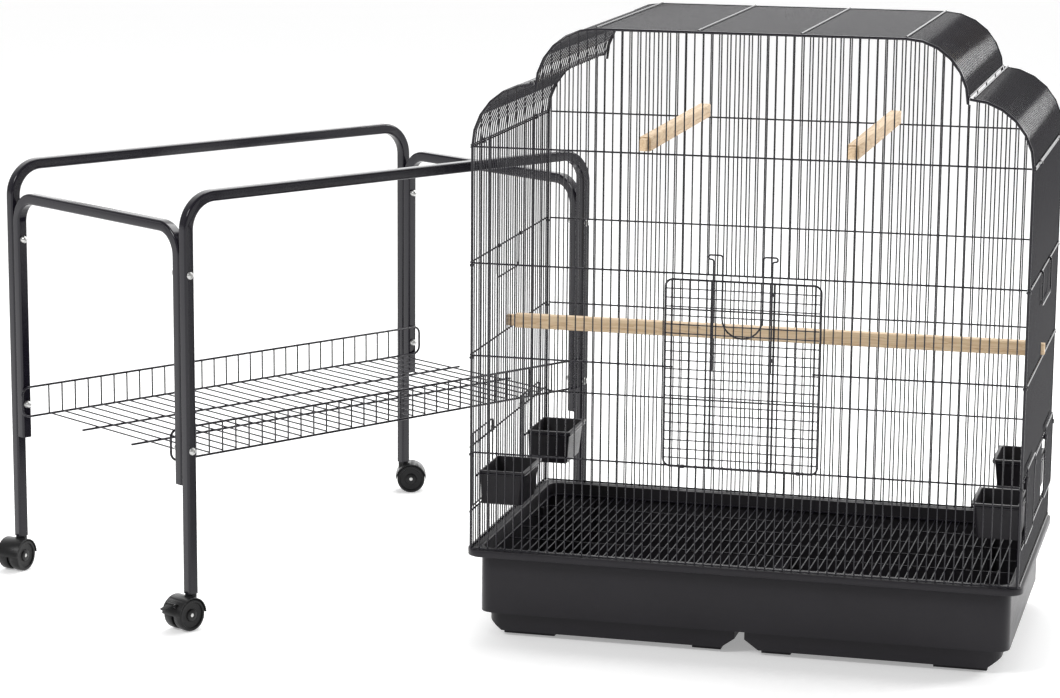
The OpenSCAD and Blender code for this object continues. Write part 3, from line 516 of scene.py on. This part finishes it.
def floor_grille():
    bm = bmesh.new()
    wide, deep, z, rod = 744.0, 406.5, 113.3, 4.0
    loop(bm, (0, 0, z), wide, deep, 18, rod, X, Y, 10)
    count = round(wide / PITCH)
    for i in range(2, count - 1):
        x = -wide / 2 + i * wide / count
        straight(bm, (x, rod / 2 - deep / 2, z), (x, deep / 2 - rod / 2, z), WIRE)
    for j in range(-2, 3):
        y, low = j * deep / 6, z - WIRE - GAP
        straight(bm, (rod / 2 - wide / 2, y, low), (wide / 2 - rod / 2, y, low), WIRE)
    nodes = ["floor_grille", "grille_frame"]
    return piece("floor_grille_rods", bm, "grille", grille_black, nodes)


# ---- stand ----

STAND = Matrix.Translation(at(-763, 164, 0)) @ Matrix.Rotation(radians(56.8), 4, "Z")
SHELF_Z, SHELF_HALF, SHELF_EDGE, SHELF_X = 245.0, 190.0, 42.0, 375.0
SHELF_BAYS = 31


def shelf_floor():
    bm = bmesh.new()
    for i in range(1, SHELF_BAYS):
        x = -SHELF_X + i * 2 * SHELF_X / SHELF_BAYS
        straight(bm, (x, 2.46 - SHELF_HALF, SHELF_Z), (x, SHELF_HALF - 2.46, SHELF_Z), 2.4)
    for s in BOTH:
        y, z = s * SHELF_HALF / 3, SHELF_Z - 1.2 - 1.8 - GAP
        straight(bm, (-SHELF_X, y, z), (SHELF_X, y, z), 3.6, 10)
    bmesh.ops.transform(bm, matrix=STAND, verts=bm.verts)
    return piece("shelf_floor_wires", bm, "stand", wire_black, ["shelf_floor"])


def shelf_edge(node, side):
    bm = bmesh.new()
    rod = 3.6
    loop(bm, (0, SHELF_HALF + rod / 2, SHELF_Z + SHELF_EDGE / 2), 794, SHELF_EDGE + rod, 12, rod, X, Z, 10)
    for i in range(1, SHELF_BAYS):
        upright(bm, -SHELF_X + i * 2 * SHELF_X / SHELF_BAYS, SHELF_HALF - 1.22, SHELF_Z - 2.4,
                SHELF_Z + SHELF_EDGE + rod / 2, 2.4)
    if side < 0:
        bmesh.ops.scale(bm, vec=(1, -1, 1), verts=bm.verts)
    bmesh.ops.transform(bm, matrix=STAND, verts=bm.verts)
    return piece(node + "_wires", bm, "stand", wire_black, [node])


# ---- casters ----

CORNERS = {"back_left": (-386, 220.3, 20), "front_left": (-386, -220.3, 5),
           "back_right": (386, 220.3, 140), "front_right": (386, -220.3, 75)}
WHEEL_R, WHEEL_W, TRAIL = 23.5, 16.0, 13.0


def caster_place(corner):
    x, y, turn = CORNERS[corner]
    return STAND @ Matrix.Translation(at(x, y, 0)) @ Matrix.Rotation(radians(turn), 4, "Z")


def wheel_pair(corner):
    """Twin wheels: a rounded tread, a dished face and a raised hub cap."""
    bm = bmesh.new()
    outline = [(3.2, 0), (20, 0), (22.6, 0.5), (WHEEL_R, 2.2), (WHEEL_R, WHEEL_W - 2.2), (22.6, WHEEL_W - 0.4),
               (20.6, WHEEL_W), (19.4, WHEEL_W - 0.3), (18.6, WHEEL_W - 2.2), (9.4, WHEEL_W - 2.6),
               (8.6, WHEEL_W - 1.0), (7.4, WHEEL_W - 0.4), (3.2, WHEEL_W - 0.4)]
    for s in BOTH:
        verts = [bm.verts.new(at(r - TRAIL, s * (2.4 + out), WHEEL_R)) for r, out in outline]
        edges = [bm.edges.new(pair) for pair in zip(verts, verts[1:] + verts[:1])]
        bmesh.ops.spin(bm, geom=verts + edges, cent=at(-TRAIL, 0, WHEEL_R), axis=Y, angle=2 * pi, steps=40,
                       use_merge=True)
    bmesh.ops.remove_doubles(bm, verts=bm.verts, dist=1e-6)
    bmesh.ops.transform(bm, matrix=caster_place(corner), verts=bm.verts)
    node = "caster_wheels_" + corner
    return piece(node + "_twin", bm, "wheels_" + corner, wheel_plastic, [node], 30)


# ---- putting it together ----

wall("front", -1, True)
wall("back", 1, False)
for word, side in SIDES.items():
    side_wall(word + "_wall", side)
    shoulder(word + "_shoulder", side)
    bail(word + "_handle", side)
    for end_word, end in (("front", -1), ("back", 1)):
        corner = end_word + "_" + word
        cup_door(corner, side, end)
        softened("cup_" + corner, "cup_" + corner, cup_plastic, 0.7)
crown()
front_door()
latch()
cup_holders()
floor_grille()
for node in ("panel_clips", "door_hinge_clips", "cup_door_guides"):
    softened(node, "wire_cage", wire_black, 0.3, 1)
for node in ("tub", "tub_rim", "tub_feet", "grille_ribs"):
    softened(node, "tub", tub_plastic, 0.8)
softened("long_perch", "wire_cage", wood_along_x, 1.2)
for node in ("left_perch", "right_perch"):
    softened(node, "wire_cage", wood_along_y, 1.2)
for node in ("front_rail_frame", "back_rail_frame", "left_end_frame", "right_end_frame"):
    softened(node, "stand", tube_black, 0)
for node in ("frame_bolts", "frame_nuts"):
    softened(node, "stand", zinc_plate, 0.3, 1)
softened("leg_inserts", "stand", hood_plastic, 0.3)
shelf_floor()
shelf_edge("shelf_front_edge", -1)
shelf_edge("shelf_back_edge", 1)
for corner in CORNERS:
    wheel_pair(corner)
    softened("caster_hood_" + corner, "caster_" + corner, hood_plastic, 0.5)
    softened("caster_pins_" + corner, "caster_" + corner, zinc_plate, 0.3, 1)
for corner in ("front_left", "front_right"):
    softened("brake_lever_" + corner, "brake_" + corner, wheel_plastic, 0.5)


# ---- floor, light and camera ----

def pale_floor():
    bm = bmesh.new()
    bmesh.ops.create_circle(bm, cap_ends=True, segments=96, radius=60)
    mesh = bpy.data.meshes.new("floor")
    bm.to_mesh(mesh)
    bm.free()
    ground = bpy.data.materials.new("pale_floor")
    ground.use_nodes = True
    surface = ground.node_tree.nodes["Principled BSDF"]
    surface.inputs["Base Color"].default_value = rgb(0.9, 0.9, 0.9)
    surface.inputs["Roughness"].default_value = 0.8
    surface.inputs["Specular IOR Level"].default_value = 0.1
    surface.inputs["Emission Color"].default_value = rgb(1, 1, 1)
    surface.inputs["Emission Strength"].default_value = 0.31
    mesh.materials.append(ground)
    made = bpy.data.objects.new("floor", mesh)
    bpy.context.scene.collection.objects.link(made)


def soft_light(name, place, aim, size, power):
    light = bpy.data.lights.new(name, "AREA")
    light.shape, light.size, light.energy = "DISK", size, power
    made = bpy.data.objects.new(name, light)
    made.location = place
    made.rotation_euler = (Vector(aim) - Vector(place)).to_track_quat("-Z", "Y").to_euler()
    bpy.context.scene.collection.objects.link(made)


def studio():
    """A white sweep that is brightest behind the cage, with a soft front fill."""
    world = bpy.data.worlds.new("studio")
    world.use_nodes = True
    tree = world.node_tree
    place = tree.nodes.new("ShaderNodeTexCoord")
    parts = tree.nodes.new("ShaderNodeSeparateXYZ")
    tree.links.new(place.outputs["Generated"], parts.inputs[0])
    spread = tree.nodes.new("ShaderNodeMapRange")
    spread.interpolation_type = "SMOOTHSTEP"
    for pin, given in (("From Min", 0.0), ("From Max", 0.8), ("To Min", 0.36), ("To Max", 1.7)):
        spread.inputs[pin].default_value = given
    tree.links.new(parts.outputs["Y"], spread.inputs["Value"])
    tree.links.new(spread.outputs["Result"], tree.nodes["Background"].inputs["Strength"])
    tree.nodes["Background"].inputs["Color"].default_value = rgb(1, 1, 1)
    bpy.context.scene.world = world
    soft_light("overhead", (-0.3, 1.5, 3.6), (-0.3, 0, 0), 2.4, 70)
    soft_light("key", (-2.6, -3.0, 3.2), (-0.2, 0, 0.5), 1.3, 85)
    soft_light("rim", (3.4, 2.2, 2.6), (0, 0, 0.6), 1.4, 80)


def camera():
    yaw, pitch, roll = radians(-14.332), radians(11.0757), radians(-0.4529)
    ahead = Vector((sin(yaw) * cos(pitch), cos(yaw) * cos(pitch), -sin(pitch)))
    right = Vector((cos(yaw), -sin(yaw), 0))
    down = ahead.cross(right)
    across = cos(roll) * right + sin(roll) * down
    below = cos(roll) * down - sin(roll) * right
    data = bpy.data.cameras.new("camera")
    data.sensor_width = 36
    data.lens = 36 * 3109.4 / 1060
    made = bpy.data.objects.new("camera", data)
    made.matrix_world = Matrix.Translation((0.757, -4.3659, 1.2641)) @ Matrix(
        (across, -below, -ahead)).transposed().to_4x4()
    bpy.context.scene.collection.objects.link(made)
    bpy.context.scene.camera = made


pale_floor()
studio()
camera()
bpy.context.scene.view_settings.view_transform = "Standard"
